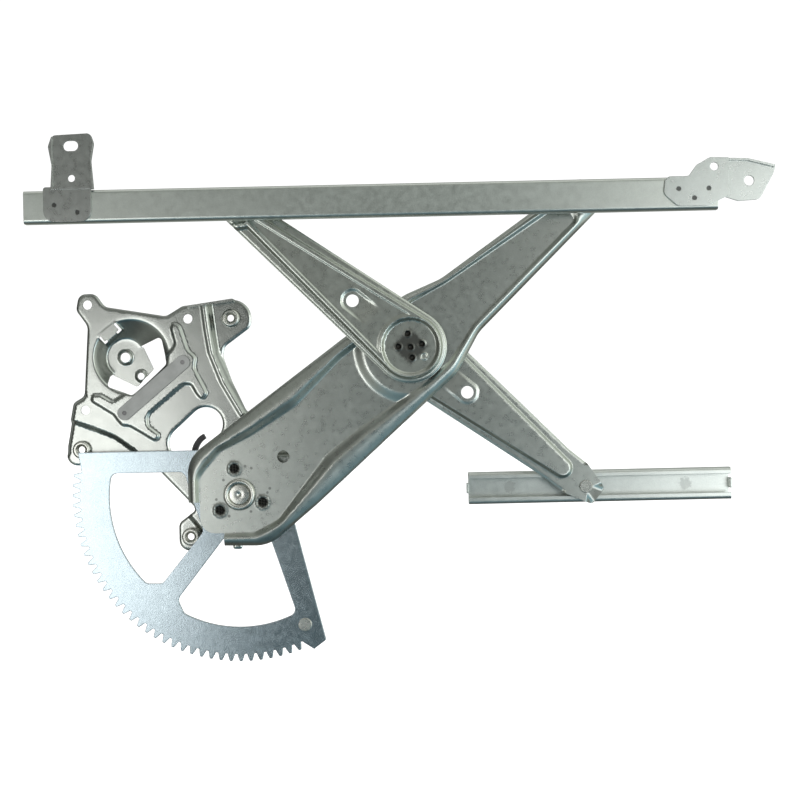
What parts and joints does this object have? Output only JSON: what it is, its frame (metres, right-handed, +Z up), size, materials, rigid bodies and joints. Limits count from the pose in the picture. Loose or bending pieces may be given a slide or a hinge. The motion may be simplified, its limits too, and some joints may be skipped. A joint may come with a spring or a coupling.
{
  "type": "window regulator",
  "caption": "Crossed-arm car window regulator: stamped base plate, toothed sector on a main arm, balance arm, sash channel with glass brackets, guide rail and rollers.",
  "frame": {"origin": "centre of the pinion bearing in the base plate's recess", "axes": "+X along the sash channel, +Z up in the door, +Y through the door away from the glass"},
  "size_m": [0.5503, 0.0624, 0.392],
  "materials": {
    "zinc_base": "zinc plated, satin",
    "zinc_arm": "zinc plated, satin",
    "zinc_sector": "zinc plated, faint blue passivation",
    "zinc_channel": "zinc plated, satin",
    "zinc_hardware": "zinc plated, turned",
    "spring_steel": "black coated",
    "pad_plastic": "moulded, matt",
    "roller_plastic": "moulded, natural"
  },
  "bodies": {
    "base": {"base_plate": "zinc_base", "base_weld_nuts": "zinc_hardware", "slide_pad": "pad_plastic", "slide_pad_pins": "pad_plastic", "pivot_bush": "roller_plastic", "counterbalance_spring": "spring_steel", "guide_rail": "zinc_channel", "rail_studs": "zinc_hardware"},
    "main_arm": {"main_arm": "zinc_arm", "sector_gear": "zinc_sector", "sector_stop_rivet": "zinc_hardware", "pivot_pin": "zinc_hardware", "pivot_retainer": "zinc_hardware", "main_roller_stud": "zinc_hardware"},
    "balance_arm": {"balance_arm_upper": "zinc_arm", "balance_arm_lower": "zinc_arm", "cross_pivot_hub": "zinc_hardware", "cross_pivot_washers": "roller_plastic", "sash_roller_stud": "zinc_hardware", "rail_roller_stud": "zinc_hardware"},
    "sash": {"sash_channel": "zinc_channel", "left_glass_bracket": "zinc_arm", "right_glass_bracket": "zinc_arm"},
    "main_roller": {"main_roller": "roller_plastic"},
    "sash_roller": {"sash_roller": "roller_plastic"},
    "rail_roller": {"rail_roller": "roller_plastic"}
  },
  "joints": [
    {"name": "main_arm_pivot", "type": "hinge", "parent": "base", "child": "main_arm", "pos_m": [0.08595, -0.02, -0.10427], "axis": [0, -1, 0], "range_deg": [-96.6, 17.4], "stiffness_Nm_per_rad": 1.2, "deforming": ["counterbalance_spring"]},
    {"name": "cross_pivot", "type": "hinge", "parent": "main_arm", "child": "balance_arm", "pos_m": [0.2154, -0.022, 0.00282], "axis": [0, -1, 0], "range_deg": [-34.8, 193.2]},
    {"name": "sash_pivot", "type": "hinge", "parent": "balance_arm", "child": "sash", "pos_m": [0.08595, -0.037, 0.10991], "axis": [0, -1, 0], "range_deg": [-96.6, 17.4]},
    {"name": "main_roller_spin", "type": "hinge", "parent": "main_arm", "child": "main_roller", "pos_m": [0.34484, -0.037, 0.10991], "axis": [0, -1, 0], "continuous": true},
    {"name": "sash_roller_spin", "type": "hinge", "parent": "balance_arm", "child": "sash_roller", "pos_m": [0.08595, -0.037, 0.10991], "axis": [0, -1, 0], "continuous": true},
    {"name": "rail_roller_spin", "type": "hinge", "parent": "balance_arm", "child": "rail_roller", "pos_m": [0.34484, -0.004, -0.10427], "axis": [0, -1, 0], "continuous": true}
  ],
  "couplings": [
    {"joint": "cross_pivot", "follows": "main_arm_pivot", "ratio": -2},
    {"joint": "sash_pivot", "follows": "main_arm_pivot", "ratio": 1}
  ]
}
